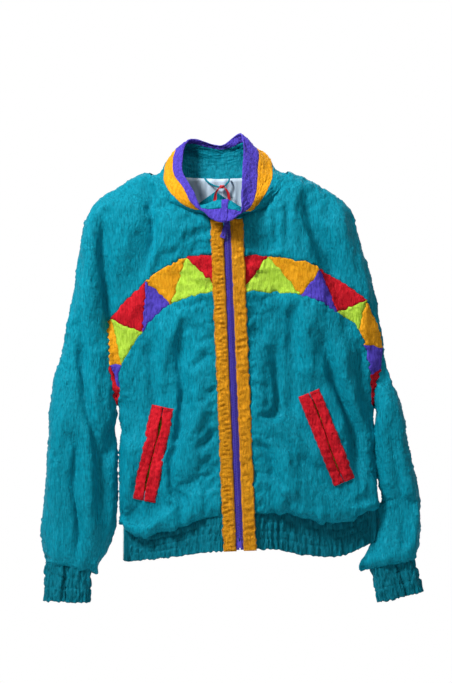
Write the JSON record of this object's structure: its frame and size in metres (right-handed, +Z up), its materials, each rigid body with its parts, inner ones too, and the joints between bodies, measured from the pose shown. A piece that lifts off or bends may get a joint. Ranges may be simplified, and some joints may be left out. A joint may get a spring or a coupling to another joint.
{
  "type": "ski jacket",
  "caption": "Lined ski jacket with a colour-blocked chest band, stand collar, zip with hanging tab, welt pockets and elastic hem and cuffs, hung open-armed.",
  "frame": {"origin": "middle of the back of the neck, where a hanger holds the jacket", "axes": "+Z up the hanging jacket, -Y out of its front, +X towards the wearer's left sleeve"},
  "size_m": [0.7266, 0.1391, 0.8905],
  "materials": {
    "shell_teal": "crinkled nylon",
    "shell_orange": "crinkled nylon",
    "shell_purple": "crinkled nylon",
    "shell_red": "crinkled nylon",
    "shell_green": "crinkled nylon",
    "lining": "smooth taffeta",
    "elastic": "knitted elastic",
    "zip_tape": "woven tape",
    "zip_plastic": "moulded",
    "ribbon": "satin ribbon"
  },
  "bodies": {
    "jacket": {"front_yoke_right": "shell_teal", "front_panel_right": "shell_teal", "back_yoke_right": "shell_teal", "chest_band_right_red": "shell_red", "chest_band_right_green": "shell_green", "chest_band_right_orange": "shell_orange", "chest_band_right_purple": "shell_purple", "placket_right": "shell_orange", "zip_tape_right": "zip_tape", "zip_teeth_right": "zip_plastic", "lining_front_right": "lining", "pocket_welts_right": "shell_red", "pocket_bag_right": "shell_green", "front_yoke_left": "shell_teal", "front_panel_left": "shell_teal", "back_yoke_left": "shell_teal", "chest_band_left_red": "shell_red", "chest_band_left_green": "shell_green", "chest_band_left_orange": "shell_orange", "chest_band_left_purple": "shell_purple", "placket_left": "shell_orange", "zip_tape_left": "zip_tape", "zip_teeth_left": "zip_plastic", "lining_front_left": "lining", "pocket_welts_left": "shell_red", "pocket_bag_left": "shell_green", "back_panel": "shell_teal", "lining_back": "lining", "hem_front_right": "shell_teal", "hem_front_left": "shell_teal", "hem_back": "shell_teal", "hem_elastic": "elastic", "collar_stand": "shell_teal", "collar_orange_stripe": "shell_orange", "collar_purple_binding": "shell_purple", "collar_lining": "shell_teal", "collar_zip_facing": "shell_purple", "zip_top_stops": "zip_plastic", "zip_retaining_box": "zip_plastic", "zip_insertion_pin": "zip_plastic", "neck_facing": "shell_teal"},
    "forearm_right": {"sleeve_front_right": "shell_teal", "sleeve_back_right": "shell_teal", "cuff_right": "shell_teal", "cuff_elastic_right": "elastic"},
    "forearm_left": {"sleeve_front_left": "shell_teal", "sleeve_back_left": "shell_teal", "cuff_left": "shell_teal", "cuff_elastic_left": "elastic"},
    "slider": {"zip_slider": "zip_plastic"},
    "pull_tab": {"zip_pull_tab": "zip_plastic"},
    "hang_loop": {"hang_loop": "shell_teal", "hang_ribbon": "ribbon"}
  },
  "joints": [
    {"name": "zip_slide", "type": "slide", "parent": "jacket", "child": "slider", "axis": [0.041, 0, -0.9992], "range_m": [0, 0.572]},
    {"name": "pull_tab_hinge", "type": "hinge", "parent": "slider", "child": "pull_tab", "pos_m": [0.00898, -0.0664, -0.0966], "axis": [-0.9418, 0, 0.3363], "range_deg": [0, 80]},
    {"name": "elbow_right", "type": "hinge", "parent": "jacket", "child": "forearm_right", "pos_m": [-0.26, 0.03, -0.49], "axis": [-1, 0, 0], "range_deg": [0, 75]},
    {"name": "elbow_left", "type": "hinge", "parent": "jacket", "child": "forearm_left", "pos_m": [0.325, 0.042, -0.49], "axis": [-1, 0, 0], "range_deg": [0, 75]},
    {"name": "hang_loop_hinge", "type": "hinge", "parent": "jacket", "child": "hang_loop", "pos_m": [-0.0095, 0.013, -0.0035], "axis": [-1, 0, 0], "range_deg": [0, 150]}
  ]
}
